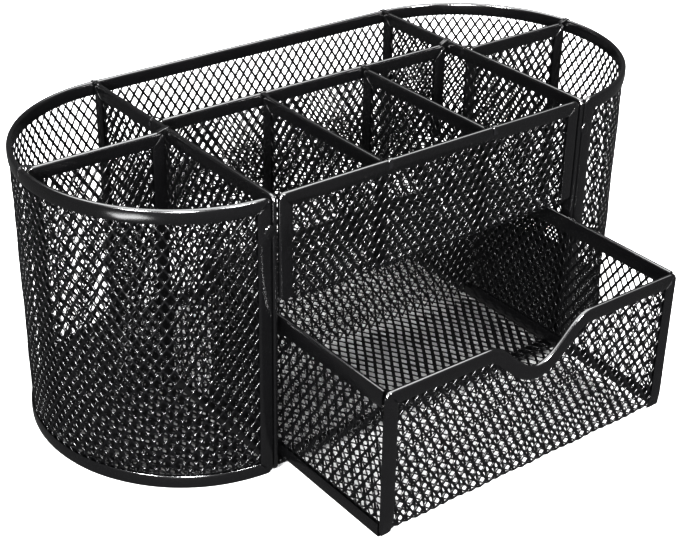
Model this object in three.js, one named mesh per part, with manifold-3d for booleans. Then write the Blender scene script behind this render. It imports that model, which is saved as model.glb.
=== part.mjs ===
// A desk organizer of black steel mesh: a long body with D-shaped ends, open on top and parted into
// eight compartments, over a drawer in the middle of its front.
//
// Every mesh panel is a thin sheet, and every edge of it is bound by a strip of steel folded over it.
// Millimetres, +Z up, +X along the body, and the drawer pulls out towards -Y. The dimensions below are
// counted from the middle of the body, on the surface that it stands on. The whole group is then moved
// along Y so that its origin is under the middle of the organizer with its drawer half open.

import * as THREE from 'three';
import { mergeVertices } from 'three/addons/utils/BufferGeometryUtils.js';
import Module from 'manifold-3d';

const wasm = await Module();
wasm.setup();

// Body
const bodyHeight = 100;
const crossDividerX = 63.6; // the cross dividers stand here, and the D-shaped ends have their centres here
const halfDepth = 54.2; // of the body, to the middle of the wall's mesh
const endReach = 52.4; // how far an end reaches beyond its centre, to the same: it is half an ellipse
const shelfHeight = 61; // the floor of the front and back compartments, over the drawer
const floorHeight = 2.6;

// Dividers
const longDividerY = 15.5;
const longDividerTop = 98.6;
const shortDividerX = [-20, 23.5];
const shortDividerTop = 98.3;
const endDividerY = 6;
const endDividerTop = 99.2;

// Drawer
const drawerHalfWidth = 61.2;
const drawerDepth = 98;
const drawerBottom = 3.8;
const drawerTop = 57;
const drawerOpening = 51.5; // how far it stands open
const dipHalfWidth = 21; // the finger dip in the middle of the drawer's front
const dipDepth = 13;

// Sheet and strip
const meshThickness = 0.6;
const foldThickness = 0.3; // of the strip's own steel
const gap = 0.3; // between a panel and its strip, and between neighbouring pieces
const stripWidth = 4.8;
const drawerSideStripWidth = 6;

const slotHalf = meshThickness / 2 + gap;
const stripHalf = slotHalf + foldThickness;
const edgeInset = foldThickness + gap; // how far a panel's edge lies inside the outside of its strip

// Steps along curves
const endSteps = 40;
const foldSteps = 8;
const waveSteps = 24;

const quarterTurn = Math.PI / 2;
const past = 1; // how far a cutting solid runs past the piece that it cuts
const weldDistance = 1e-4; // points closer than this are one point

const meshRoughness = 0.45;
const stripRoughness = 0.28;

function blackSteel(roughness) {
  return new THREE.MeshStandardMaterial({ color: 0x0c0c0d, roughness, metalness: 0.4 });
}

function addPiece(parent, name, geometry, roughness, place = {}) {
  const piece = new THREE.Mesh(geometry, blackSteel(roughness));
  piece.name = name;
  piece.position.set(place.x ?? 0, place.y ?? 0, place.z ?? 0);
  piece.rotation.set(place.turnX ?? 0, place.turnY ?? 0, place.turnZ ?? 0);
  parent.add(piece);
}

// A closed geometry as a solid for manifold-3d, and back.
function toSolid(geometry) {
  const bare = geometry.index ? geometry.toNonIndexed() : geometry.clone();
  bare.deleteAttribute('normal');
  bare.deleteAttribute('uv');
  const merged = mergeVertices(bare, weldDistance);
  return new wasm.Manifold(
    new wasm.Mesh({
      numProp: 3,
      vertProperties: new Float32Array(merged.attributes.position.array),
      triVerts: new Uint32Array(merged.index.array),
    }),
  );
}

function toGeometry(solid) {
  const mesh = solid.getMesh();
  const geometry = new THREE.BufferGeometry();
  geometry.setAttribute('position', new THREE.BufferAttribute(new Float32Array(mesh.vertProperties), 3));
  geometry.setIndex(new THREE.BufferAttribute(new Uint32Array(mesh.triVerts), 1));
  geometry.computeVertexNormals();
  return geometry;
}

// A plan outline standing up from z = bottom to z = top.
function upright(outline, bottom, top) {
  const options = { depth: top - bottom, bevelEnabled: false, curveSegments: endSteps };
  return new THREE.ExtrudeGeometry(outline, options).translate(0, 0, bottom);
}

// Strips: sheet folded to a U, which runs along X from 0 to its length. Its round fold is its top edge, at
// z = width, and it is open at z = 0.
function strip(length, width = stripWidth) {
  const section = new THREE.Shape();
  section.moveTo(-stripHalf, 0);
  section.lineTo(-slotHalf, 0);
  section.lineTo(-slotHalf, width - foldThickness);
  section.lineTo(slotHalf, width - foldThickness);
  section.lineTo(slotHalf, 0);
  section.lineTo(stripHalf, 0);
  section.lineTo(stripHalf, width - stripHalf);
  section.absarc(0, width - stripHalf, stripHalf, 0, Math.PI, false);
  section.closePath();
  const options = { depth: length, bevelEnabled: false, curveSegments: foldSteps };
  const sectionToYZ = new THREE.Matrix4().makeBasis(
    new THREE.Vector3(0, 1, 0),
    new THREE.Vector3(0, 0, 1),
    new THREE.Vector3(1, 0, 0),
  );
  return new THREE.ExtrudeGeometry(section, options).applyMatrix4(sectionToYZ);
}

function flatPanel(length, bottom, top) {
  return new THREE.BoxGeometry(length, meshThickness, top - bottom).translate(0, 0, (top + bottom) / 2);
}

// A bound panel stands in the XZ plane with the middle of its length at x = 0. It is a mesh sheet with a
// strip over its top edge, one over each end in `ends`, and one under its bottom edge if it has such a strip.
function addBoundPanel(parent, name, size) {
  const { length, bottom, top, ends, topWidth = stripWidth, bottomStrip = false } = size;
  const half = length / 2;
  const endTop = top - topWidth - gap;
  const endBottom = bottomStrip ? bottom + stripWidth + gap : bottom;
  const sheetInset = ends.length > 0 ? edgeInset : gap;
  const sheetBottom = bottomStrip ? bottom + edgeInset : bottom;
  addPiece(
    parent,
    `${name}_mesh`,
    flatPanel(length - 2 * sheetInset, sheetBottom, top - edgeInset),
    meshRoughness,
  );
  addPiece(parent, `${name}_top_strip`, strip(length, topWidth), stripRoughness, {
    x: -half,
    z: top - topWidth,
  });
  if (bottomStrip) {
    addPiece(parent, `${name}_bottom_strip`, strip(length), stripRoughness, {
      x: -half,
      z: bottom + stripWidth,
      turnX: Math.PI,
    });
  }
  if (ends.length > 0) {
    const endLength = endTop - endBottom;
    addPiece(parent, `${name}_${ends[0]}_strip`, strip(endLength), stripRoughness, {
      x: -half + stripWidth,
      z: endBottom,
      turnY: -quarterTurn,
    });
    addPiece(parent, `${name}_${ends[1]}_strip`, strip(endLength), stripRoughness, {
      x: half - stripWidth,
      z: endTop,
      turnY: quarterTurn,
    });
  }
}

function addGroup(parent, place) {
  const group = new THREE.Group();
  group.position.set(place.x ?? 0, place.y ?? 0, place.z ?? 0);
  group.rotation.z = place.turnZ ?? 0;
  parent.add(group);
  return group;
}

// Outer wall: one band that runs from the front, round the left end, along the back and round the right
// end to the front again. Its front ends stand beside the cross dividers.
const wallEndX = crossDividerX + stripHalf + gap;
const frontFace = -halfDepth - stripHalf;
const backInside = halfDepth - stripHalf;

// How far, as an angle of the end's ellipse, the wall stops short of straight ahead.
function frontAngle(extra) {
  return Math.asin((wallEndX - crossDividerX + extra) / endReach);
}

// Adds a stretch of the curve of an end, `offset` outside the middle of the mesh: side is -1 or 1.
function addEndCurve(path, side, offset, start, finish, clockwise) {
  const reach = endReach + offset;
  const depth = halfDepth + offset;
  path.absellipse(side * crossDividerX, 0, reach, depth, start, finish, clockwise);
}

// Plan of the wall's left or right end, a half ring.
function endRing(side, halfThickness, extra) {
  const start = side > 0 ? -quarterTurn + frontAngle(extra) : quarterTurn;
  const finish = side > 0 ? quarterTurn : 3 * quarterTurn - frontAngle(extra);
  const ring = new THREE.Shape();
  addEndCurve(ring, side, halfThickness, start, finish, false);
  addEndCurve(ring, side, -halfThickness, finish, start, true);
  ring.closePath();
  return ring;
}

// Plan of the whole wall.
function wallRing(halfThickness, extra) {
  const front = quarterTurn - frontAngle(extra);
  const ring = new THREE.Shape();
  addEndCurve(ring, -1, halfThickness, Math.PI + front, quarterTurn, true);
  addEndCurve(ring, 1, halfThickness, quarterTurn, -front, true);
  addEndCurve(ring, 1, -halfThickness, -front, quarterTurn, false);
  addEndCurve(ring, -1, -halfThickness, quarterTurn, Math.PI + front, false);
  ring.closePath();
  return ring;
}

function addWall(parent) {
  const backLength = 2 * crossDividerX - 2 * gap;
  const sheetTop = bodyHeight - edgeInset;
  const postBottom = stripWidth + gap;
  const postTop = bodyHeight - stripWidth - gap;
  for (const [side, name] of [[-1, 'left'], [1, 'right']]) {
    const sheet = upright(endRing(side, meshThickness / 2, edgeInset), edgeInset, sheetTop);
    addPiece(parent, `wall_${name}_mesh`, sheet, meshRoughness);
    const solidBase = toSolid(upright(endRing(side, stripHalf, 0), 0, stripWidth));
    const baseSlot = toSolid(upright(endRing(side, slotHalf, -past), foldThickness, stripWidth + past));
    addPiece(parent, `base_${name}_strip`, toGeometry(solidBase.subtract(baseSlot)), stripRoughness);

    const postAngle = frontAngle(stripWidth / 2);
    const post = addGroup(parent, {
      x: side * (crossDividerX + endReach * Math.sin(postAngle)),
      y: -halfDepth * Math.cos(postAngle),
      turnZ: side * Math.atan((halfDepth / endReach) * Math.tan(postAngle)),
    });
    addPiece(post, `wall_${name}_front_strip`, strip(postTop - postBottom), stripRoughness, {
      x: (side * stripWidth) / 2,
      z: side > 0 ? postBottom : postTop,
      turnY: -side * quarterTurn,
    });
  }
  addPiece(parent, 'wall_back_mesh', flatPanel(backLength, edgeInset, sheetTop), meshRoughness, {
    y: halfDepth,
  });
  addPiece(parent, 'base_back_strip', strip(backLength), stripRoughness, {
    x: -backLength / 2,
    y: halfDepth,
    z: stripWidth,
    turnX: Math.PI,
  });
  const rimBottom = bodyHeight - stripWidth;
  const solidRim = toSolid(upright(wallRing(stripHalf, 0), rimBottom, bodyHeight));
  const rimSlot = toSolid(upright(wallRing(slotHalf, -past), rimBottom - past, bodyHeight - foldThickness));
  addPiece(parent, 'rim_strip', toGeometry(solidRim.subtract(rimSlot)), stripRoughness);
}

// Floors: one sheet in each D-shaped end, and one in the bay between them.
function addFloors(parent) {
  const floorOffset = -stripHalf - gap;
  const chordAngle = Math.acos((wallEndX - crossDividerX) / (endReach + floorOffset));
  const floorUnder = floorHeight - meshThickness / 2;
  for (const [side, name] of [[-1, 'left'], [1, 'right']]) {
    const facing = side > 0 ? 0 : Math.PI;
    const plan = new THREE.Shape();
    addEndCurve(plan, side, floorOffset, facing - chordAngle, facing + chordAngle, false);
    plan.closePath();
    const floor = upright(plan, floorUnder, floorUnder + meshThickness);
    addPiece(parent, `floor_${name}_mesh`, floor, meshRoughness);
  }
  const bayWidth = 2 * (crossDividerX - stripHalf - gap);
  const bayFront = frontFace + edgeInset;
  const bayBack = backInside - gap;
  const bayFloor = new THREE.BoxGeometry(bayWidth, bayBack - bayFront, meshThickness);
  addPiece(parent, 'floor_bay_mesh', bayFloor, meshRoughness, {
    y: (bayFront + bayBack) / 2,
    z: floorHeight,
  });
  addPiece(parent, 'floor_bay_front_strip', strip(bayWidth), stripRoughness, {
    x: -bayWidth / 2,
    y: frontFace + stripWidth,
    z: floorHeight,
    turnX: quarterTurn,
  });
}

// Dividers
function addDividers(parent) {
  const bayInside = crossDividerX - stripHalf - gap; // what stands between the cross dividers ends here
  const onFloor = floorHeight + meshThickness / 2 + gap;
  const onShelf = shelfHeight + meshThickness / 2 + gap;

  const crossFront = frontFace;
  const crossBack = backInside - gap;
  for (const [side, name] of [[-1, 'left'], [1, 'right']]) {
    const across = addGroup(parent, {
      x: side * crossDividerX,
      y: (crossFront + crossBack) / 2,
      turnZ: quarterTurn,
    });
    addBoundPanel(across, `cross_divider_${name}`, {
      length: crossBack - crossFront,
      bottom: 0,
      top: bodyHeight,
      ends: ['front', 'back'],
      bottomStrip: true,
    });
    const nearWall = (endDividerY + stripHalf) / backInside;
    const endInside = (endReach - stripHalf) * Math.sqrt(1 - nearWall ** 2) - gap;
    const endStart = wallEndX - crossDividerX;
    const along = addGroup(parent, {
      x: side * (crossDividerX + (endStart + endInside) / 2),
      y: endDividerY,
      turnZ: side > 0 ? 0 : Math.PI,
    });
    addBoundPanel(along, `end_divider_${name}`, {
      length: endInside - endStart,
      bottom: onFloor,
      top: endDividerTop,
      ends: ['inner', 'outer'],
    });
  }

  const long = addGroup(parent, { y: longDividerY });
  addBoundPanel(long, 'long_divider', {
    length: 2 * bayInside,
    bottom: onShelf,
    top: longDividerTop,
    ends: ['left', 'right'],
  });

  const shortFront = frontFace + 2 * stripHalf + gap;
  const shortBack = longDividerY - stripHalf - gap;
  shortDividerX.forEach((x, index) => {
    const across = addGroup(parent, { x, y: (shortFront + shortBack) / 2, turnZ: quarterTurn });
    addBoundPanel(across, `short_divider_${index + 1}`, {
      length: shortBack - shortFront,
      bottom: onShelf,
      top: shortDividerTop,
      ends: ['front', 'back'],
    });
  });
}

// Front panel over the drawer, and the shelf behind it that the middle compartments stand on.
function addFrontAndShelf(parent) {
  const half = crossDividerX - stripHalf - 2 * gap;
  const panelPlace = addGroup(parent, { y: -halfDepth });
  addBoundPanel(panelPlace, 'front_panel', {
    length: 2 * half,
    bottom: shelfHeight,
    top: bodyHeight,
    ends: ['left', 'right'],
  });
  const shelfFront = frontFace + 2 * stripHalf + gap;
  const shelfBack = backInside - gap;
  const shelfWidth = 2 * (crossDividerX - stripHalf - gap);
  const shelf = new THREE.BoxGeometry(shelfWidth, shelfBack - shelfFront, meshThickness);
  addPiece(parent, 'shelf_mesh', shelf, meshRoughness, {
    y: (shelfFront + shelfBack) / 2,
    z: shelfHeight,
  });
}

// Outline of the drawer's front, in X and Z, `inset` inside its outer edge. Its top edge dips in the middle
// by a smooth wave, and it is open at the bottom, where it ends at z = bottom.
function drawerFrontOutline(inset, bottom) {
  const half = drawerHalfWidth - inset;
  const outline = new THREE.Shape();
  outline.moveTo(-half, bottom);
  outline.lineTo(half, bottom);
  outline.lineTo(half, drawerTop - inset);
  for (let step = 0; step <= waveSteps; step += 1) {
    const x = dipHalfWidth * (1 - (2 * step) / waveSteps);
    const phase = (Math.PI * x) / dipHalfWidth;
    const z = drawerTop - (dipDepth / 2) * (1 + Math.cos(phase));
    const slope = ((dipDepth / 2) * Math.PI * Math.sin(phase)) / dipHalfWidth;
    const steepness = Math.hypot(1, slope);
    outline.lineTo(x + (inset * slope) / steepness, z - inset / steepness);
  }
  outline.lineTo(-half, drawerTop - inset);
  outline.closePath();
  return outline;
}

// That outline as a plate of the given thickness, standing in the XZ plane with its middle at y = 0.
function drawerFrontPlate(inset, bottom, thickness) {
  const options = { depth: thickness, bevelEnabled: false };
  const plate = new THREE.ExtrudeGeometry(drawerFrontOutline(inset, bottom), options);
  return plate.translate(0, 0, -thickness / 2).rotateX(quarterTurn);
}

function addDrawer(parent) {
  const frontY = -halfDepth;
  const behindFront = frontY + stripHalf + gap;
  const backY = frontFace + drawerDepth - stripHalf;
  const sideBack = backY - stripHalf - gap;
  const sideX = drawerHalfWidth - stripHalf;

  const frameOutside = toSolid(drawerFrontPlate(0, drawerBottom, 2 * stripHalf));
  const window = toSolid(drawerFrontPlate(stripWidth, drawerBottom - past, 2 * stripHalf + past));
  const slot = toSolid(drawerFrontPlate(foldThickness, drawerBottom - past, 2 * slotHalf));
  const frame = toGeometry(frameOutside.subtract(window).subtract(slot));
  addPiece(parent, 'drawer_front_strip', frame, stripRoughness, { y: frontY });
  const frontSheet = drawerFrontPlate(edgeInset, drawerBottom, meshThickness);
  addPiece(parent, 'drawer_front_mesh', frontSheet, meshRoughness, { y: frontY });

  for (const [side, name] of [[-1, 'left'], [1, 'right']]) {
    const along = addGroup(parent, {
      x: side * sideX,
      y: (behindFront + sideBack) / 2,
      turnZ: quarterTurn,
    });
    addBoundPanel(along, `drawer_${name}`, {
      length: sideBack - behindFront,
      bottom: drawerBottom,
      top: drawerTop,
      topWidth: drawerSideStripWidth,
      ends: [],
      bottomStrip: true,
    });
  }
  const across = addGroup(parent, { y: backY });
  addBoundPanel(across, 'drawer_back', {
    length: 2 * drawerHalfWidth,
    bottom: drawerBottom,
    top: drawerTop,
    topWidth: drawerSideStripWidth,
    ends: [],
  });

  const floorWidth = 2 * (sideX - stripHalf - gap);
  const floor = new THREE.BoxGeometry(floorWidth, sideBack - behindFront, meshThickness);
  addPiece(parent, 'drawer_floor_mesh', floor, meshRoughness, {
    y: (behindFront + sideBack) / 2,
    z: drawerBottom + edgeInset + meshThickness / 2,
  });
}

const organizer = new THREE.Group();
organizer.position.y = drawerOpening / 2;
addWall(organizer);
addFloors(organizer);
addDividers(organizer);
addFrontAndShelf(organizer);
addDrawer(addGroup(organizer, { y: -drawerOpening }));

export default organizer;
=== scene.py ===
"""A desk organizer of black expanded steel mesh, with folded steel strips over its edges and a drawer.

Every panel is a sheet with its own coordinates: u along it, v up it and n out of it. A panel's mesh and
its strips are made in those coordinates, and a function then lays them in the frame, flat, round the
D-shaped ends or over a bend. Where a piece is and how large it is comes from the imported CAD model.
"""

import math

import bpy
import numpy as np
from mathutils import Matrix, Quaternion, Vector


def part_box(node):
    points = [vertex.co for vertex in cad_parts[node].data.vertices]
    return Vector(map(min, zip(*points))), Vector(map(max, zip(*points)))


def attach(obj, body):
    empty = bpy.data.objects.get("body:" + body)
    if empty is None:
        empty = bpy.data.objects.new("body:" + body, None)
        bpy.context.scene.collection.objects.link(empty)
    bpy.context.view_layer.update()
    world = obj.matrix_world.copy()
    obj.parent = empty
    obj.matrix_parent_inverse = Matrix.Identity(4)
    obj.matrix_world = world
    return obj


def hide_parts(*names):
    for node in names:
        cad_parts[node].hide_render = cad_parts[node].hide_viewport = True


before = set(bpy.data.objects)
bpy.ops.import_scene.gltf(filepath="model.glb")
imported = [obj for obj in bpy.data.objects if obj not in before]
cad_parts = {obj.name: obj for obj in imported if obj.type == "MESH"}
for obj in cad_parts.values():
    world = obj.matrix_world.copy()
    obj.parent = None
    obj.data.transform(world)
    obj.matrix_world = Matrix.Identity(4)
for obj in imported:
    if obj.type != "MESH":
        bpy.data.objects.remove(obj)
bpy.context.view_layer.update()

MM = 0.001
PIECE_GAP = 0.3 * MM  # between neighbouring pieces
SHARP_ANGLE = math.radians(40)

# ---------------------------------------------------------------------------------------------------
# Sizes, from the CAD model
# ---------------------------------------------------------------------------------------------------

rim_low, rim_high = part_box("rim_strip")
top_strip_low, top_strip_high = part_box("front_panel_top_strip")
back_mesh_low, back_mesh_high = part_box("wall_back_mesh")

BODY_TOP = rim_high.z
BODY_Y = (rim_low.y + rim_high.y) / 2
STRIP_WIDTH = rim_high.z - rim_low.z
STRIP_HALF = (top_strip_high.y - top_strip_low.y) / 2
SHEET_HALF = (back_mesh_high.y - back_mesh_low.y) / 2
EDGE_INSET = BODY_TOP - back_mesh_high.z
SHEET_INSET = EDGE_INSET / 2  # of a flat sheet's edge, in its strip's fold
END_X = sum(corner.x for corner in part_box("cross_divider_right_mesh")) / 2  # where the round ends start
HALF_DEPTH = (rim_high.y - rim_low.y) / 2 - STRIP_HALF
END_REACH = rim_high.x - END_X - STRIP_HALF

# ---------------------------------------------------------------------------------------------------
# Meshes
# ---------------------------------------------------------------------------------------------------


def make_piece(name, body, slot, material, points, faces, replaced, sharp_angle=SHARP_ANGLE):
    """A mesh object from its points, in metres, and its faces, which rides on a body and replaces some
    of its CAD nodes."""
    mesh = bpy.data.meshes.new(name)
    mesh.from_pydata(points, [], faces)
    mesh.shade_smooth()
    mesh.set_sharp_from_angle(angle=sharp_angle)
    mesh.materials.append(material)
    piece = bpy.data.objects.new(name, mesh)
    bpy.context.scene.collection.objects.link(piece)
    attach(piece, body)
    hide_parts(*replaced)


def join_parts(parts):
    """Several (points, faces) as one."""
    points, faces, count = [], [], 0
    for part_points, part_faces in parts:
        points.append(part_points)
        faces += [tuple(index + count for index in face) for face in part_faces]
        count += len(part_points)
    return np.concatenate(points), faces


# ---------------------------------------------------------------------------------------------------
# Lays: from a sheet's own coordinates (u, v, n) to the frame
# ---------------------------------------------------------------------------------------------------


def flat_lay(origin, along, up):
    """A flat sheet whose u runs in the direction `along` and v in the direction `up`."""
    origin, along, up = (np.array(vector, float) for vector in (origin, along, up))
    out = np.cross(along, up)

    def lay(u, v, n):
        return origin + u[:, None] * along + v[:, None] * up + n[:, None] * out

    return lay


# Along the wall: round an end, which is half an ellipse, and along the whole of it.
END_LENGTH = math.pi * math.sqrt((END_REACH**2 + HALF_DEPTH**2) / 2)
WALL_LENGTH = 2 * END_LENGTH + 2 * END_X


def wall_lay(u, v, n):
    """The outer wall: u runs from the front round the left end, along the back and round the right end
    to the front again, v is the height, and n points into the organizer."""
    back_length = 2 * END_X
    on_left = u < END_LENGTH
    on_right = u > END_LENGTH + back_length
    round_end = np.where(on_left, u, np.where(on_right, u - back_length, END_LENGTH))
    centre_x = np.where(on_left, -END_X, np.where(on_right, END_X, u - END_LENGTH - END_X))
    angle = -math.pi / 2 - math.pi * round_end / END_LENGTH
    x = centre_x + (END_REACH - n) * np.cos(angle)
    y = BODY_Y + (HALF_DEPTH - n) * np.sin(angle)
    return np.stack([x, y, v], axis=1)


def bent_lay(centre_x, front_y, floor_z, bend_radius):
    """A sheet that stands in front with v as its height above the floor level, and turns back into the
    floor by a bend: below the bend, v goes on as the distance along the floor, with a minus sign."""
    quarter = bend_radius * math.pi / 2

    def lay(u, v, n):
        turned = np.clip((bend_radius - v) / bend_radius, 0, math.pi / 2)
        beyond = np.maximum(bend_radius - quarter - v, 0)
        above = np.maximum(v - bend_radius, 0)
        radius = bend_radius + n
        y = front_y + bend_radius - radius * np.cos(turned) + beyond
        z = floor_z + bend_radius - radius * np.sin(turned) + above
        return np.stack([centre_x + u, y, z], axis=1)

    return lay


# ---------------------------------------------------------------------------------------------------
# Expanded mesh
# ---------------------------------------------------------------------------------------------------

CELL_WIDTH = 3.7 * MM
CELL_HEIGHT = 5.5 * MM
STRAND_WIDTH = 0.73 * MM
END_FLOOR_SHADE_STRAND_WIDTH = 1.8 * MM  # painted shade: strands so thick that the two ends' floors are almost closed, which darkens them as the shadow under the body does
STRAND_HALF = 0.95 * SHEET_HALF  # half of a strand's thickness, at its ridges
STRAND_SIDE_HALF = 0.5 * STRAND_HALF  # and at its sides
STRAND_TILT = 0.2 * MM  # how far out of the sheet's plane a strand's lower edge stands
HOLE_ROUNDNESS = 1.04  # 1 makes straight-sided diamonds and 2 ellipses
SIDE_STEPS = 2  # along each side of a diamond
WOBBLE = 0.12 * MM  # how far the diamonds stray within the sheet
SHEET_WAVE = 0.22 * MM  # how far the sheet strays from its plane
FINE_SHARE = 0.5  # of that straying's finer part
WAVE_LENGTHS = (17 * MM, 41 * MM)  # the shortest and the longest of the straying
WAVES = 8

# Lattice steps from a diamond's middle to the points of its outline, anticlockwise from its right corner.
CORNERS = [(SIDE_STEPS, 0), (0, SIDE_STEPS), (-SIDE_STEPS, 0), (0, -SIDE_STEPS)]
OUTLINE = [
    (
        start[0] + (finish[0] - start[0]) * step // SIDE_STEPS,
        start[1] + (finish[1] - start[1]) * step // SIDE_STEPS,
    )
    for start, finish in zip(CORNERS, CORNERS[1:] + CORNERS[:1])
    for step in range(SIDE_STEPS)
]


def hole_points(strand_width):
    """The hole's outline about the middle of its diamond, in metres, in the order of OUTLINE. It is a
    superellipse that leaves strands of strand_width at their middle."""
    half_width, half_height = CELL_WIDTH / 2, CELL_HEIGHT / 2
    middle_distance = half_width * half_height / math.hypot(half_width, half_height)
    bulge = 2 ** (1 - 1 / HOLE_ROUNDNESS)
    scale = (1 - strand_width / 2 / middle_distance) / bulge
    shares = np.array(OUTLINE, float) / SIDE_STEPS
    reach = np.sign(shares) * np.abs(shares) ** (1 / HOLE_ROUNDNESS)
    return reach * np.array([half_width, half_height]) * scale


def stray(u, v, seed):
    """A small smooth wandering of a sheet's points: within it, and out of it."""
    rng = np.random.default_rng(seed)
    phase = rng.uniform(0, 2 * math.pi, WAVES)
    wave = 2 * math.pi / rng.uniform(*WAVE_LENGTHS, WAVES)
    du = np.sin(wave[0] * u + phase[0]) * np.sin(wave[1] * v + phase[1])
    dv = np.sin(wave[2] * u + phase[2]) * np.sin(wave[3] * v + phase[3])
    dn = np.sin(wave[4] * u + phase[4]) * np.cos(wave[5] * v + phase[5])
    dn += FINE_SHARE * np.sin(wave[6] * (u + v) + phase[6]) * np.cos(wave[7] * (u - v) + phase[7])
    return du * WOBBLE, dv * WOBBLE, dn * SHEET_WAVE / (1 + FINE_SHARE)


def expanded_sheet(lay, low, high, inside, seed, tilt=STRAND_TILT, strand_width=STRAND_WIDTH):
    """Points and faces of an expanded mesh sheet between two (u, v) corners. A diamond is made where the
    whole of it is inside. The strands are six-sided, with a ridge on each side of the sheet, and are
    twisted, as slitting and stretching leaves them, so that their faces look up."""
    step_u, step_v = CELL_WIDTH / 2 / SIDE_STEPS, CELL_HEIGHT / 2 / SIDE_STEPS
    outline = np.array(OUTLINE)
    middle_u, middle_v = (low[0] + high[0]) / 2, (low[1] + high[1]) / 2
    reach_u = int((high[0] - low[0]) / 2 / (step_u * SIDE_STEPS)) + 2
    reach_v = int((high[1] - low[1]) / 2 / (step_v * SIDE_STEPS)) + 2
    rows = np.arange(-reach_v, reach_v + 1)
    columns = np.arange(-reach_u, reach_u + 1)
    grid = np.array(np.meshgrid(columns, rows, indexing="ij")).reshape(2, -1).T
    middles = grid[(grid.sum(axis=1) % 2) == 0] * SIDE_STEPS
    diamond_u = middle_u + (middles[:, :1] + outline[:, 0]) * step_u
    diamond_v = middle_v + (middles[:, 1:] + outline[:, 1]) * step_v
    middles = middles[inside(diamond_u, diamond_v).all(axis=1)]
    hole = hole_points(strand_width)
    hole_u = middle_u + middles[:, :1] * step_u + hole[:, 0]
    hole_v = middle_v + middles[:, 1:] * step_v + hole[:, 1]
    hole_n = np.tile(tilt * hole[:, 1] / hole[:, 1].max(), len(middles))

    count, sides = len(middles), len(OUTLINE)
    ridge_steps = (middles[:, None, :] + outline).reshape(-1, 2)
    unique_steps, ridge_index = np.unique(ridge_steps, axis=0, return_inverse=True)
    ridge_index = ridge_index.reshape(count, sides)
    ridge_u = middle_u + unique_steps[:, 0] * step_u
    ridge_v = middle_v + unique_steps[:, 1] * step_v
    ridges = len(unique_steps)

    u = np.concatenate([ridge_u, ridge_u, hole_u.ravel(), hole_u.ravel()])
    v = np.concatenate([ridge_v, ridge_v, hole_v.ravel(), hole_v.ravel()])
    ridge_n = np.repeat([STRAND_HALF, -STRAND_HALF], ridges)
    n = np.concatenate([ridge_n, hole_n + STRAND_SIDE_HALF, hole_n - STRAND_SIDE_HALF])
    du, dv, dn = stray(u, v, seed)
    points = lay(u + du, v + dv, n + dn)

    front = 2 * ridges + np.arange(count * sides).reshape(count, sides)
    back = front + count * sides
    after = (np.arange(sides) + 1) % sides
    around = [
        [front, ridge_index, ridge_index[:, after], front[:, after]],
        [back[:, after], ridge_index[:, after] + ridges, ridge_index + ridges, back],
        [front, front[:, after], back[:, after], back],
    ]
    faces = [np.stack(corners, axis=2).reshape(-1, 4) for corners in around]

    # The sheet's own edge, where a side's neighbour isn't there.
    there = {tuple(middle) for middle in middles}
    for side in range(len(CORNERS)):
        across_u = SIDE_STEPS if side in (0, 3) else -SIDE_STEPS
        across_v = SIDE_STEPS if side in (0, 1) else -SIDE_STEPS
        open_side = np.array([(m[0] + across_u, m[1] + across_v) not in there for m in middles])
        near = np.arange(side * SIDE_STEPS, (side + 1) * SIDE_STEPS)
        far = (near + 1) % sides
        edge = ridge_index[open_side]
        faces.append(
            np.stack(
                [edge[:, near], edge[:, near] + ridges, edge[:, far] + ridges, edge[:, far]], axis=2
            ).reshape(-1, 4)
        )
    return points, np.concatenate(faces).tolist()


def rectangle(low, high):
    """A test of whether points lie in a rectangle."""

    def inside(u, v):
        return (u > low[0]) & (u < high[0]) & (v > low[1]) & (v < high[1])

    return inside


# ---------------------------------------------------------------------------------------------------
# Folded strips
# ---------------------------------------------------------------------------------------------------

CORNER_RADIUS = 2.4 * MM  # of a mitred corner's outside
FOOT_RADIUS = 1.8 * MM  # of a rounded foot's outside
SLOT_HALF = SHEET_HALF + PIECE_GAP
FOLD_STEPS = 8  # round the fold
FACE_STEPS = 5  # across a face
CORNER_STEPS = 7  # along a corner, up to its mitre
STRIP_SPACING = 4 * MM  # along a straight strip
CROWN = 0.07 * MM  # how far a face bulges
LIP_TUCK = 0.16 * MM  # how far its lip is pressed in against the mesh
LIP_ROUND = 0.1 * MM
INNER_DEPTH = 0.7  # of the fold's outer depth
FOLD_THICKNESS = 0.12 * MM  # between the slot and the strip's inner face
FACE_WAVE = 0.045 * MM  # how far its faces are out of true along it
RIPPLES = (5.1 * MM, 3.3 * MM)  # the distances along it that turn the two parts of that by a radian
RIPPLE_PHASE = 1  # of the second part, in radians
MITRE_GROOVE = 0.75  # its thickness on the mitre, as a share
MITRE_LAP = (1.2, 1.5)  # the same up to the mitre and on it, where the strip lies over its neighbour
CORNER_MARGIN = 0.6 * MM  # of straight strip beyond a corner
HOOK_WIDTH = 1.6 * MM
HOOK_THICKNESS = 0.36 * MM
HOOK_DROP = 1.7 * MM  # down the far side of the strip that it hooks over
HOOK_RUN = 3.2 * MM  # along its own strip, where it rises
HOOK_TURN = math.radians(125)  # over the other strip's fold
HOOK_RISE_STEPS = 7
HOOK_TURN_STEPS = 9
HOOK_DROP_STEPS = 3
NEITHER = (False, False)
BOTH = (True, True)


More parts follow.
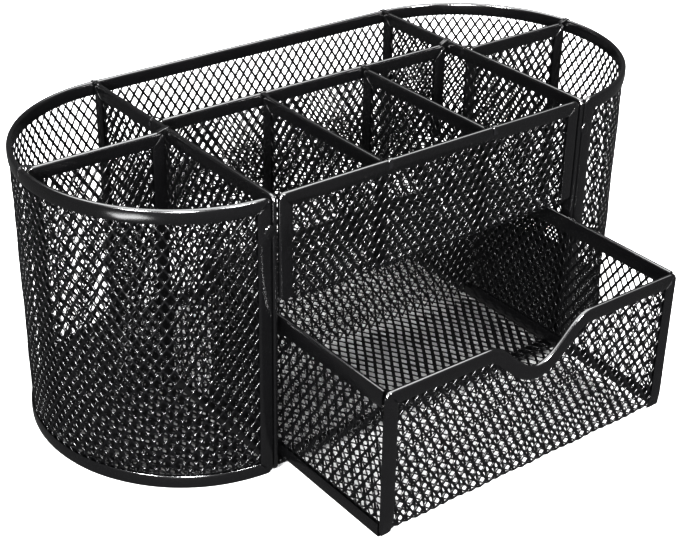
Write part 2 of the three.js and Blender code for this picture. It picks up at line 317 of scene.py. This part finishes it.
def strip_section(width):
    """The outline of a strip's cross section as (inward, n): inward is the distance from its fold. Its
    faces are slightly crowned, and their lips are tucked in against the mesh."""
    share = np.linspace(0, 1, FACE_STEPS + 1)
    lip = width - LIP_ROUND
    face_inward = lip - share * (lip - STRIP_HALF)
    face_n = STRIP_HALF + CROWN * np.sin(math.pi * share) - LIP_TUCK * (1 - share) ** 3
    lip_n = (face_n[0] + SLOT_HALF) / 2
    angle = math.pi * np.arange(1, FOLD_STEPS) / FOLD_STEPS
    fold = zip(STRIP_HALF * (1 - np.sin(angle)), STRIP_HALF * np.cos(angle))
    inner_n, inner_inward = SLOT_HALF - FOLD_THICKNESS, STRIP_HALF * INNER_DEPTH
    outline = [(width, lip_n), *zip(face_inward, face_n), *fold, *zip(face_inward[::-1], -face_n[::-1])]
    outline += [(width, -lip_n), (lip, -inner_n), (inner_inward, -inner_n), (inner_inward, inner_n)]
    return np.array([*outline, (lip, inner_n)])


def corner_curve(inward, share, run):
    """Where the points of a strip lie near a mitred corner, as (distance before the corner, inward), as
    share goes from 0, at the distance run before it, to 1, on the mitre. The outside is rounded."""
    arc_radius = np.maximum(CORNER_RADIUS - inward, 0)
    rounded = inward < CORNER_RADIUS
    straight = np.where(rounded, run - CORNER_RADIUS, run - inward)
    along = share * (straight + arc_radius * math.pi / 4)
    past_straight = np.where(rounded, np.maximum(along - straight, 0), 0)
    turned = past_straight / np.where(rounded & (arc_radius > 0), arc_radius, 1)
    before = run - np.minimum(along, straight) - arc_radius * np.sin(turned)
    return before, inward + arc_radius * (1 - np.cos(turned))


def strip_stations(section, length, mitres, feet, laps, spacing):
    """For each station of a strip: how far along the edge and inward of it each point of its section
    lies, and how thick the strip is, as a share. A mitred end turns its corner by half of the corner's
    angle and has a shallow groove on the mitre, or is raised there where it laps. A foot is rounded."""
    inward = section[:, 0]
    run = inward.max() + CORNER_MARGIN
    shares = np.linspace(0, 1, CORNER_STEPS + 1)
    foot_reach = np.maximum(FOOT_RADIUS - inward, 0)
    foot = FOOT_RADIUS - np.sqrt(FOOT_RADIUS**2 - foot_reach**2)

    def end_stations(mitred, rounded, laps_over):
        if not mitred:
            return [(foot if rounded else np.zeros_like(inward), inward, 1)]
        corner = MITRE_LAP if laps_over else (1, MITRE_GROOVE)
        thickness = [1] * (CORNER_STEPS - 1) + [*corner]
        return [(*corner_curve(inward, share, run), thick) for share, thick in zip(shares, thickness)]

    first = end_stations(mitres[0], feet[0], laps[0])
    last = end_stations(mitres[1], feet[1], laps[1])
    start = run if mitres[0] or feet[0] else 0
    finish = length - (run if mitres[1] or feet[1] else 0)
    steps = max(int(round((finish - start) / spacing)), 1)
    inner_first = 0 if feet[0] else 1
    inner_last = steps + 1 if feet[1] else steps
    inner = [
        (np.full_like(inward, start + (finish - start) * step / steps), inward, 1)
        for step in range(inner_first, inner_last)
    ]
    return first[::-1] + inner + [(length - before, moved, thick) for before, moved, thick in last]


def wavy(n, distance):
    """A section's n where the strip is slightly out of true, at a distance along it."""
    ripple = np.sin(distance / RIPPLES[0]) + np.sin(distance / RIPPLES[1] + RIPPLE_PHASE)
    return n + FACE_WAVE / 2 * ripple * np.minimum(np.abs(n) / STRIP_HALF, 1) * np.sign(n)


def sweep_faces(stations, around):
    """Faces of a closed section carried through its stations, with an end face on each end."""
    faces = []
    for station in range(stations - 1):
        for point in range(around):
            after = (point + 1) % around
            near, far = station * around, (station + 1) * around
            faces.append((near + point, near + after, far + after, far + point))
    faces.append(tuple(reversed(range(around))))
    faces.append(tuple(range((stations - 1) * around, stations * around)))
    return faces


def edge_strip(
    lay,
    start,
    finish,
    width=STRIP_WIDTH,
    mitres=NEITHER,
    feet=NEITHER,
    laps=NEITHER,
    spacing=STRIP_SPACING,
):
    """A strip folded over the straight edge from start to finish, two (u, v) points. The sheet is on the
    right of that direction. Mitres, feet and laps say which of its two ends is mitred, has a rounded foot
    or lies over the strip that it meets."""
    start, finish = np.array(start, float), np.array(finish, float)
    length = np.linalg.norm(finish - start)
    along = (finish - start) / length
    inward = np.array([along[1], -along[0]])
    section = strip_section(width)
    points = []
    stations = strip_stations(section, length, mitres, feet, laps, spacing)
    for distance, moved, thickness in stations:
        place = start + distance[:, None] * along + moved[:, None] * inward
        points.append(lay(place[:, 0], place[:, 1], wavy(section[:, 1] * thickness, distance)))
    return np.concatenate(points), sweep_faces(len(stations), len(section))


def hook(lay, end, outward, low_top, high_top):
    """A tongue that goes on from a divider's top strip, which ends at u = end, over the top of the strip
    next to it, and down that strip's far side. Outward is the way it points, 1 or -1."""
    radius = STRIP_HALF + HOOK_THICKNESS / 2
    angle = np.linspace(HOOK_TURN, 0, HOOK_TURN_STEPS + 1)
    over_along, over_up = radius * np.cos(angle), high_top - STRIP_HALF + radius * np.sin(angle)
    share = np.arange(HOOK_RISE_STEPS) / HOOK_RISE_STEPS
    eased = share * share * (3 - 2 * share)
    start_along, start_up = over_along[0] - HOOK_RUN, low_top + HOOK_THICKNESS / 4
    rise_along = start_along + share * (over_along[0] - start_along)
    rise_up = start_up + eased * (over_up[0] - start_up)
    drop_up = over_up[-1] - HOOK_DROP * np.arange(1, HOOK_DROP_STEPS + 1) / HOOK_DROP_STEPS
    along = np.concatenate([rise_along, over_along, np.full_like(drop_up, radius)])
    up = np.concatenate([rise_up, over_up, drop_up])
    slope_along, slope_up = np.gradient(along), np.gradient(up)
    length = np.hypot(slope_along, slope_up)
    half_width, half_thickness = HOOK_WIDTH / 2, HOOK_THICKNESS / 2
    quarter = [(half_width - half_thickness / 2, half_thickness), (half_width, half_thickness / 2)]
    half = quarter + [(across, -lift) for across, lift in quarter[::-1]]
    section = np.array(half + [(-across, lift) for across, lift in half[::-1]])
    lift = section[:, 1]
    points = []
    for step in range(len(along)):
        section_along = along[step] - lift * slope_up[step] / length[step]
        section_up = up[step] + lift * slope_along[step] / length[step]
        u = end + outward * (PIECE_GAP + STRIP_HALF + section_along)
        points.append(lay(u, section_up, outward * section[:, 0]))
    return np.concatenate(points), sweep_faces(len(along), len(section))


# ---------------------------------------------------------------------------------------------------
# Materials
# ---------------------------------------------------------------------------------------------------

COAT_COLOUR = (0.0018, 0.0018, 0.002)
COAT_IOR = 1.5
PEEL_SCALE = 900.0  # of the orange peel, per metre
PEEL_DETAIL = 2.0
PEEL_STRENGTH = 0.35
CLOUD_SCALE = 70.0  # of the gloss variation, per metre
CLOUD_DETAIL = 5.0
WORN_POINTINESS = (0.52, 0.7)  # where the coat starts to thin out, and where it is thinnest
WORN_GAIN = 2.2  # how much paler it is there


def powder_coat(name, shine, roughness, roughness_spread, bump_height):
    """Black powder coat on steel: a satin gloss with orange peel, and paler where it thins out over a
    sharp edge."""
    material = bpy.data.materials.new(name)
    material.use_nodes = True
    nodes, links = material.node_tree.nodes, material.node_tree.links
    shader = nodes["Principled BSDF"]
    shader.inputs["Metallic"].default_value = 0.0
    shader.inputs["IOR"].default_value = COAT_IOR
    shader.inputs["Specular IOR Level"].default_value = shine
    coordinates = nodes.new("ShaderNodeTexCoord")

    peel = nodes.new("ShaderNodeTexNoise")
    peel.inputs["Scale"].default_value = PEEL_SCALE
    peel.inputs["Detail"].default_value = PEEL_DETAIL
    links.new(coordinates.outputs["Object"], peel.inputs["Vector"])
    bump = nodes.new("ShaderNodeBump")
    bump.inputs["Strength"].default_value = PEEL_STRENGTH
    bump.inputs["Distance"].default_value = bump_height
    links.new(peel.outputs["Fac"], bump.inputs["Height"])
    links.new(bump.outputs["Normal"], shader.inputs["Normal"])

    cloud = nodes.new("ShaderNodeTexNoise")
    cloud.inputs["Scale"].default_value = CLOUD_SCALE
    cloud.inputs["Detail"].default_value = CLOUD_DETAIL
    links.new(coordinates.outputs["Object"], cloud.inputs["Vector"])
    gloss = nodes.new("ShaderNodeMapRange")
    gloss.inputs["To Min"].default_value = roughness - roughness_spread
    gloss.inputs["To Max"].default_value = roughness + roughness_spread
    links.new(cloud.outputs["Fac"], gloss.inputs["Value"])
    links.new(gloss.outputs["Result"], shader.inputs["Roughness"])

    geometry = nodes.new("ShaderNodeNewGeometry")
    worn = nodes.new("ShaderNodeMapRange")
    worn.inputs["From Min"].default_value = WORN_POINTINESS[0]
    worn.inputs["From Max"].default_value = WORN_POINTINESS[1]
    links.new(geometry.outputs["Pointiness"], worn.inputs["Value"])
    tone = nodes.new("ShaderNodeMix")
    tone.data_type = "RGBA"
    tone.inputs["A"].default_value = (*COAT_COLOUR, 1)
    tone.inputs["B"].default_value = (*(WORN_GAIN * channel for channel in COAT_COLOUR), 1)
    links.new(worn.outputs["Result"], tone.inputs["Factor"])
    links.new(tone.outputs["Result"], shader.inputs["Base Color"])
    return material


mesh_coat = powder_coat(
    "mesh_powder_coat", shine=0.3, roughness=0.22, roughness_spread=0.06, bump_height=0.03 * MM
)
strip_coat = powder_coat(
    "strip_powder_coat", shine=0.95, roughness=0.18, roughness_spread=0.04, bump_height=0.02 * MM
)


def add_mesh(name, body, sheet, replaced=None):
    """A sheet of expanded mesh in place of the CAD node of its name, or of several. Its strands are
    smooth all round."""
    nodes = replaced or [name]
    make_piece(f"expanded_{name}", body, "black_mesh", mesh_coat, *sheet, nodes, sharp_angle=math.pi)


def add_strip(name, body, part):
    """A folded strip in place of the CAD node of its name."""
    make_piece(f"folded_{name}", body, "black_strip", strip_coat, *part, [name])


# ---------------------------------------------------------------------------------------------------
# Pieces of the organizer. Each sheet of mesh has a seed of its own, so that each strays in its own way.
# ---------------------------------------------------------------------------------------------------

CURVE_SPACING = 3 * MM  # of a strip's stations round the ends
BEND_RADIUS = 2.2 * MM  # where one sheet is both an upright panel and the floor behind it
WELD_DROP = 11.4 * MM  # below the rim
WELD_RADIUS = 1.8 * MM
WELD_HEIGHT = 0.5 * MM
WELD_STRETCH = 1.3  # taller than wide
WELD_AROUND = 16
WELD_RINGS = 4


def weld(post_u):
    """The swelling of a spot weld on a post, over its fold, as a closed lens."""
    side = 1 if post_u < WALL_LENGTH / 2 else -1
    around = WELD_AROUND
    angle = 2 * math.pi * np.arange(around) / around
    points, faces = [], []
    for ring in range(WELD_RINGS + 1):
        rise = math.pi / 2 * ring / (WELD_RINGS + 1)
        reach = WELD_RADIUS * math.cos(rise)
        lift = WELD_HEIGHT * math.sin(rise)
        u = post_u + side * (WELD_RADIUS / 2 + reach * np.cos(angle))
        v = BODY_TOP - WELD_DROP + reach * np.sin(angle) * WELD_STRETCH
        points.append(wall_lay(u, v, np.full(around, -STRIP_HALF - lift)))
    for ring in range(WELD_RINGS):
        for step in range(around):
            near, far = ring * around + step, ring * around + (step + 1) % around
            faces.append((near, far, far + around, near + around))
    faces.append(tuple(reversed(range(around))))
    faces.append(tuple(WELD_RINGS * around + step for step in range(around)))
    if side > 0:
        faces = [face[::-1] for face in faces]
    return np.concatenate(points), faces


def wall():
    """The mesh round the body, the rim over it, the strips under it and the posts at its two ends. The
    mesh is one lattice, which is parted into three pieces."""
    front_gap = STRIP_HALF + PIECE_GAP
    start = math.asin(front_gap / END_REACH) / math.pi * END_LENGTH
    finish = WALL_LENGTH - start
    back_start, back_finish = END_LENGTH, WALL_LENGTH - END_LENGTH
    low, high = EDGE_INSET, BODY_TOP - EDGE_INSET
    corners = (start + EDGE_INSET, low), (finish - EDGE_INSET, high)
    whole = rectangle(*corners)
    spans = {
        "left": (start, back_start, -STRAND_TILT),
        "back": (back_start, back_finish, STRAND_TILT / 2),
        "right": (back_finish, finish, -STRAND_TILT),
    }
    for name, (span_start, span_finish, tilt) in spans.items():

        def inside(u, v, span_start=span_start, span_finish=span_finish):
            middle_u = u.mean(axis=1, keepdims=True)
            return whole(u, v) & (middle_u >= span_start) & (middle_u < span_finish)

        sheet = expanded_sheet(wall_lay, *corners, inside, seed=1, tilt=tilt)
        add_mesh(f"wall_{name}_mesh", "organizer", sheet)
    foot_left, top_left = (start, 0), (start, BODY_TOP)
    foot_right, top_right = (finish, 0), (finish, BODY_TOP)
    rim = edge_strip(wall_lay, top_left, top_right, mitres=BOTH, spacing=CURVE_SPACING)
    left_post = edge_strip(wall_lay, foot_left, top_left, mitres=BOTH, laps=(False, True))
    right_post = edge_strip(wall_lay, top_right, foot_right, mitres=BOTH, laps=(True, False))
    add_strip("rim_strip", "organizer", rim)
    add_strip("wall_left_front_strip", "organizer", join_parts([left_post, weld(start)]))
    add_strip("wall_right_front_strip", "organizer", join_parts([right_post, weld(finish)]))
    base_spans = {
        "left": (back_start, start, (False, True)),
        "back": (back_finish, back_start, NEITHER),
        "right": (finish, back_finish, (True, False)),
    }
    for name, (base_start, base_finish, mitres) in base_spans.items():
        corners = (base_start, 0), (base_finish, 0)
        part = edge_strip(wall_lay, *corners, mitres=mitres, spacing=CURVE_SPACING)
        add_strip(f"base_{name}_strip", "organizer", part)


def bound_panel(name, body, sides, seed, top_width=STRIP_WIDTH, hooked_over=(None, None)):
    """A flat upright panel: its mesh, a strip along its top, and the strips that `sides` names by edge:
    start, end and bottom. The top strip's ends may hook over two neighbouring nodes."""
    mesh_low, mesh_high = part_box(f"{name}_mesh")
    strip_low, strip_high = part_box(f"{name}_top_strip")
    along_x = mesh_high.x - mesh_low.x > mesh_high.y - mesh_low.y
    axis = 0 if along_x else 1
    low_u, high_u = strip_low[axis], strip_high[axis]
    top = strip_high.z
    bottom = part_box(f"{name}_{sides['bottom']}_strip")[0].z if "bottom" in sides else mesh_low.z
    middle = (mesh_low + mesh_high) / 2
    if along_x:
        panel_lay = flat_lay((0, middle.y, 0), (1, 0, 0), (0, 0, 1))
    else:
        panel_lay = flat_lay((middle.x, 0, 0), (0, 1, 0), (0, 0, 1))
    has_start, has_end, has_bottom = "start" in sides, "end" in sides, "bottom" in sides
    sheet_low = (low_u + SHEET_INSET, bottom + (SHEET_INSET if has_bottom else 0))
    sheet_high = (high_u - SHEET_INSET, top - SHEET_INSET)
    sheet = expanded_sheet(panel_lay, sheet_low, sheet_high, rectangle(sheet_low, sheet_high), seed)
    add_mesh(f"{name}_mesh", body, sheet)
    foot_start, top_start = (low_u, bottom), (low_u, top)
    foot_end, top_end = (high_u, bottom), (high_u, top)
    edges = {
        "start": (foot_start, top_start, STRIP_WIDTH, (has_bottom, True)),
        "top": (top_start, top_end, top_width, (has_start, has_end)),
        "end": (top_end, foot_end, STRIP_WIDTH, (True, has_bottom)),
        "bottom": (foot_end, foot_start, STRIP_WIDTH, (has_end, has_start)),
    }
    for edge, (edge_start, edge_finish, width, mitres) in edges.items():
        if edge == "top" or edge in sides:
            node = f"{name}_{sides.get(edge, 'top')}_strip"
            parts = [edge_strip(panel_lay, edge_start, edge_finish, width, mitres)]
            if edge == "top":
                for end, outward, neighbour in zip((low_u, high_u), (-1, 1), hooked_over):
                    if neighbour:
                        parts.append(hook(panel_lay, end, outward, top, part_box(neighbour)[1].z))
            add_strip(node, body, join_parts(parts))


def dividers():
    """The upright panels inside the body, whose top strips hook over the strips that they meet."""
    cross_tops = {side: f"cross_divider_{side}_top_strip" for side in ("left", "right")}
    for seed, side in enumerate(("left", "right")):
        sides = {"start": "front", "end": "back", "bottom": "bottom"}
        hooked_over = (None, "rim_strip")
        bound_panel(f"cross_divider_{side}", "organizer", sides, 10 + seed, hooked_over=hooked_over)
        ends, hooked_over = ("outer", "inner"), ("rim_strip", cross_tops[side])
        if side == "right":
            ends, hooked_over = ends[::-1], hooked_over[::-1]
        sides = {"start": ends[0], "end": ends[1]}
        bound_panel(f"end_divider_{side}", "organizer", sides, 20 + seed, hooked_over=hooked_over)
    bound_panel(
        "long_divider",
        "organizer",
        {"start": "left", "end": "right"},
        seed=30,
        hooked_over=(cross_tops["left"], cross_tops["right"]),
    )
    for number in (1, 2):
        bound_panel(
            f"short_divider_{number}",
            "organizer",
            {"start": "front", "end": "back"},
            seed=40 + number,
            hooked_over=("front_panel_top_strip", "long_divider_top_strip"),
        )


def front_and_shelf():
    """The front panel and the shelf behind it are one sheet of mesh, bent over at the panel's foot."""
    low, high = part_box("front_panel_mesh")
    shelf_low, shelf_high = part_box("shelf_mesh")
    front_y = (low.y + high.y) / 2
    shelf_z = (shelf_low.z + shelf_high.z) / 2
    lay = bent_lay(0, front_y, shelf_z, BEND_RADIUS)
    strip_low, strip_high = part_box("front_panel_top_strip")
    top = strip_high.z - shelf_z
    depth = shelf_high.y - front_y
    corners = (strip_low.x + SHEET_INSET, -depth), (strip_high.x - SHEET_INSET, top - SHEET_INSET)
    sheet = expanded_sheet(lay, *corners, rectangle(*corners), seed=50)
    add_mesh("front_panel_mesh", "organizer", sheet, ["front_panel_mesh", "shelf_mesh"])
    bottom = PIECE_GAP + BEND_RADIUS
    foot_left, top_left = (strip_low.x, bottom), (strip_low.x, top)
    foot_right, top_right = (strip_high.x, bottom), (strip_high.x, top)
    strips = {
        "left": edge_strip(lay, foot_left, top_left, mitres=(False, True), feet=(True, False)),
        "top": edge_strip(lay, top_left, top_right, mitres=BOTH),
        "right": edge_strip(lay, top_right, foot_right, mitres=(True, False), feet=(False, True)),
    }
    for name, part in strips.items():
        add_strip(f"front_panel_{name}_strip", "organizer", part)


def floors():
    """The mesh floors of the two round ends and of the bay under the drawer."""
    for seed, (side, name) in enumerate(((-1, "floor_left_mesh"), (1, "floor_right_mesh"))):
        low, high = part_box(name)
        depth = (high.y - low.y) / 2
        reach = max(abs(low.x), abs(high.x)) - END_X
        lay = flat_lay((side * END_X, BODY_Y, (low.z + high.z) / 2), (1, 0, 0), (0, 1, 0))

        def inside(u, v, side=side, depth=depth, reach=reach):
            return (np.hypot(u / reach, v / depth) < 1) & (side * u > STRIP_HALF)

        corners = (-reach, -depth), (reach, depth)
        # Painted shade: the ends' floors get strands thick enough to almost close them, darkening them
        # like the shadow under the body.
        width = END_FLOOR_SHADE_STRAND_WIDTH
        sheet = expanded_sheet(lay, *corners, inside, seed=60 + seed, strand_width=width)
        add_mesh(name, "organizer", sheet)
    low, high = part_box("floor_bay_mesh")
    middle = (low + high) / 2
    lay = flat_lay((0, middle.y, middle.z), (1, 0, 0), (0, 1, 0))
    half = (high - low) / 2
    corners = (-half.x, -half.y), (half.x, half.y)
    sheet = expanded_sheet(lay, *corners, rectangle(*corners), seed=62)
    add_mesh("floor_bay_mesh", "organizer", sheet)
    strip_low, strip_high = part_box("floor_bay_front_strip")
    edge = strip_low.y - middle.y
    part = edge_strip(lay, (strip_high.x, edge), (strip_low.x, edge))
    add_strip("floor_bay_front_strip", "organizer", part)


# ---------------------------------------------------------------------------------------------------
# Pieces of the drawer
# ---------------------------------------------------------------------------------------------------

drawer_strip_low, drawer_strip_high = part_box("drawer_front_strip")
drawer_floor_low, drawer_floor_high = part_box("drawer_floor_mesh")
DRAWER_HALF = (drawer_strip_high.x - drawer_strip_low.x) / 2
DRAWER_TOP = drawer_strip_high.z
DRAWER_Y = (drawer_strip_low.y + drawer_strip_high.y) / 2
DRAWER_FLOOR = (drawer_floor_low.z + drawer_floor_high.z) / 2
DIP_HALF = 21 * MM  # half of the finger dip's width, as in the CAD model
DIP_DEPTH = 13 * MM  # as in the CAD model
DIP_SPACING = 1.5 * MM  # of the strip's stations along it


def dip_edge(u):
    """Height of the front's top edge, and its slope."""
    phase = math.pi * np.clip(u / DIP_HALF, -1, 1)
    height = DRAWER_TOP - DIP_DEPTH / 2 * (1 + np.cos(phase))
    slope = DIP_DEPTH / 2 * math.pi / DIP_HALF * np.sin(phase)
    return height, slope


def drawer_front_strip(lay):
    """One strip up the front's left side, along its wavy top and down its right side, mitred."""
    top = DRAWER_TOP - DRAWER_FLOOR
    left_corners = (-DRAWER_HALF, 0), (-DRAWER_HALF, top)
    right_corners = (DRAWER_HALF, top), (DRAWER_HALF, 0)
    left = edge_strip(lay, *left_corners, mitres=(False, True), feet=(True, False))
    right = edge_strip(lay, *right_corners, mitres=(True, False), feet=(False, True))
    section = strip_section(STRIP_WIDTH)
    points = []
    stations = strip_stations(section, 2 * DRAWER_HALF, BOTH, NEITHER, NEITHER, DIP_SPACING)
    for distance, moved, thickness in stations:
        edge_u = distance - DRAWER_HALF
        height, slope = dip_edge(edge_u)
        steepness = np.hypot(1, slope)
        u = edge_u + moved * slope / steepness
        v = height - DRAWER_FLOOR - moved / steepness
        points.append(lay(u, v, section[:, 1] * thickness))
    top_part = np.concatenate(points), sweep_faces(len(stations), len(section))
    return join_parts([left, top_part, right])


def drawer():
    """The drawer. Its front and its floor are one sheet of mesh."""
    lay = bent_lay(0, DRAWER_Y, DRAWER_FLOOR, BEND_RADIUS)
    depth = drawer_floor_high.y - DRAWER_Y
    half_width = DRAWER_HALF - SHEET_INSET
    corners = (-half_width, -depth), (half_width, DRAWER_TOP - DRAWER_FLOOR - SHEET_INSET)

    def inside(u, v):
        height, _ = dip_edge(u)
        widest = np.where(v < 0, drawer_floor_high.x, half_width)
        return (np.abs(u) < widest) & (v > -depth) & (v < height - DRAWER_FLOOR - EDGE_INSET)

    sheet = expanded_sheet(lay, *corners, inside, seed=70)
    add_mesh("drawer_front_mesh", "drawer", sheet, ["drawer_front_mesh", "drawer_floor_mesh"])
    add_strip("drawer_front_strip", "drawer", drawer_front_strip(lay))
    side_strip_low, side_strip_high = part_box("drawer_left_top_strip")
    side_width = side_strip_high.z - side_strip_low.z
    for seed, side in enumerate(("left", "right")):
        bound_panel(f"drawer_{side}", "drawer", {"bottom": "bottom"}, 71 + seed, side_width)
    bound_panel("drawer_back", "drawer", {}, seed=73, top_width=side_width)


wall()
dividers()
front_and_shelf()
floors()
drawer()

# ---------------------------------------------------------------------------------------------------
# Studio
# ---------------------------------------------------------------------------------------------------

FLOOR_COLOUR = 0.42
FLOOR_ROUGHNESS = 0.9
FLOOR_HALF = 4.0  # metres, so that its edges are out of sight
ROOM_LIGHT = 0.22  # of the sky all round
SOFTBOX_LIGHT = 9  # of the sky overhead
SOFTBOX_EDGE = (0.62, 0.85)  # heights on the unit sphere between which it fades in
# Name, azimuth from straight in front, elevation, width across, all in degrees, and strength.
SUNS = [
    ("left", -65, 27, 12, 10.0),
    ("front", 6, 29, 12, 9.0),
    ("near_camera", -33, 14, 12, 13.0),
]
CARD_PLACE = (-261 * MM, -75 * MM, 4 * MM)
CARD_SIZE = (70 * MM, 90 * MM)
CARD_POWER = 0.22  # watts
PICTURE_GAMMA = 0.76  # below 1, it hardens the contrast


def floor():
    """A plain pale floor. It is lit so brightly that the soft shadow on it hardly shows, and it doesn't
    show in the gloss of the strips."""
    mesh = bpy.data.meshes.new("studio_floor")
    half = FLOOR_HALF
    corners = [(-half, -half, 0), (half, -half, 0), (half, half, 0), (-half, half, 0)]
    mesh.from_pydata(corners, [], [(0, 1, 2, 3)])
    material = bpy.data.materials.new("studio_floor")
    material.use_nodes = True
    shader = material.node_tree.nodes["Principled BSDF"]
    shader.inputs["Base Color"].default_value = (FLOOR_COLOUR, FLOOR_COLOUR, FLOOR_COLOUR, 1)
    shader.inputs["Roughness"].default_value = FLOOR_ROUGHNESS
    shader.inputs["Specular IOR Level"].default_value = 0.0
    mesh.materials.append(material)
    piece = bpy.data.objects.new("studio_floor", mesh)
    bpy.context.scene.collection.objects.link(piece)
    piece.visible_glossy = False


def aim_light(light, direction):
    """Put a light in the scene, shining in a direction."""
    light.rotation_mode = "QUATERNION"
    light.rotation_quaternion = Vector(direction).to_track_quat("-Z", "Y")
    bpy.context.scene.collection.objects.link(light)


def sun(name, azimuth, elevation, angle, strength):
    """Even light from a direction, as from a softbox."""
    data = bpy.data.lights.new(name, "SUN")
    data.energy = strength
    data.angle = math.radians(angle)
    azimuth, elevation = math.radians(azimuth), math.radians(elevation)
    away = (
        -math.sin(azimuth) * math.cos(elevation),
        math.cos(azimuth) * math.cos(elevation),
        -math.sin(elevation),
    )
    aim_light(bpy.data.objects.new(name, data), away)


def sky():
    """Soft light from all round, which is brightest overhead, as under a large softbox."""
    world = bpy.data.worlds.new("studio")
    world.use_nodes = True
    nodes, links = world.node_tree.nodes, world.node_tree.links
    coordinates = nodes.new("ShaderNodeTexCoord")
    split = nodes.new("ShaderNodeSeparateXYZ")
    links.new(coordinates.outputs["Generated"], split.inputs["Vector"])
    height = nodes.new("ShaderNodeMapRange")
    height.interpolation_type = "SMOOTHSTEP"
    height.inputs["From Min"].default_value = SOFTBOX_EDGE[0]
    height.inputs["From Max"].default_value = SOFTBOX_EDGE[1]
    height.inputs["To Min"].default_value = ROOM_LIGHT
    height.inputs["To Max"].default_value = SOFTBOX_LIGHT
    links.new(split.outputs["Z"], height.inputs["Value"])
    links.new(height.outputs["Result"], nodes["Background"].inputs["Strength"])
    nodes["Background"].inputs["Color"].default_value = (1, 1, 1, 1)
    bpy.context.scene.world = world


def card():
    """A bright card that lies on the floor, out of the camera's sight, and shows in the rim."""
    data = bpy.data.lights.new("card", "AREA")
    data.shape = "RECTANGLE"
    data.size, data.size_y = CARD_SIZE
    data.energy = CARD_POWER
    light = bpy.data.objects.new("card", data)
    light.location = CARD_PLACE
    light.visible_camera = False
    aim_light(light, (0, 0, 1))


def studio():
    """The floor, the lights and how the picture is toned."""
    floor()
    sky()
    for light in SUNS:
        sun(*light)
    card()
    bpy.context.scene.view_settings.view_transform = "Standard"
    bpy.context.scene.view_settings.gamma = PICTURE_GAMMA


# The camera stands in front of the left end and looks down on it.
CAMERA_PLACE = (-289.4 * MM, -354.6 * MM, 296.4 * MM)
CAMERA_AZIMUTH = math.radians(-37.41)
CAMERA_ELEVATION = math.radians(29.34)
CAMERA_ROLL = math.radians(0.97)
CAMERA_LENS = 79.54  # for a sensor of SENSOR_WIDTH
SENSOR_WIDTH = 36
CAMERA_SHIFT = (0.0047, 0.0051)
CAMERA_CLIP = (0.01, 20)  # metres


def camera():
    """The camera, from its place, where it looks and how it is rolled."""
    data = bpy.data.cameras.new("camera")
    data.lens = CAMERA_LENS
    data.sensor_width = SENSOR_WIDTH
    data.shift_x, data.shift_y = CAMERA_SHIFT
    data.clip_start, data.clip_end = CAMERA_CLIP
    piece = bpy.data.objects.new("camera", data)
    piece.location = CAMERA_PLACE
    back = Vector(
        (
            math.sin(CAMERA_AZIMUTH) * math.cos(CAMERA_ELEVATION),
            -math.cos(CAMERA_AZIMUTH) * math.cos(CAMERA_ELEVATION),
            math.sin(CAMERA_ELEVATION),
        )
    )
    piece.rotation_mode = "QUATERNION"
    piece.rotation_quaternion = Quaternion(back, CAMERA_ROLL) @ (-back).to_track_quat("-Z", "Y")
    bpy.context.scene.collection.objects.link(piece)
    bpy.context.scene.camera = piece


studio()
camera()
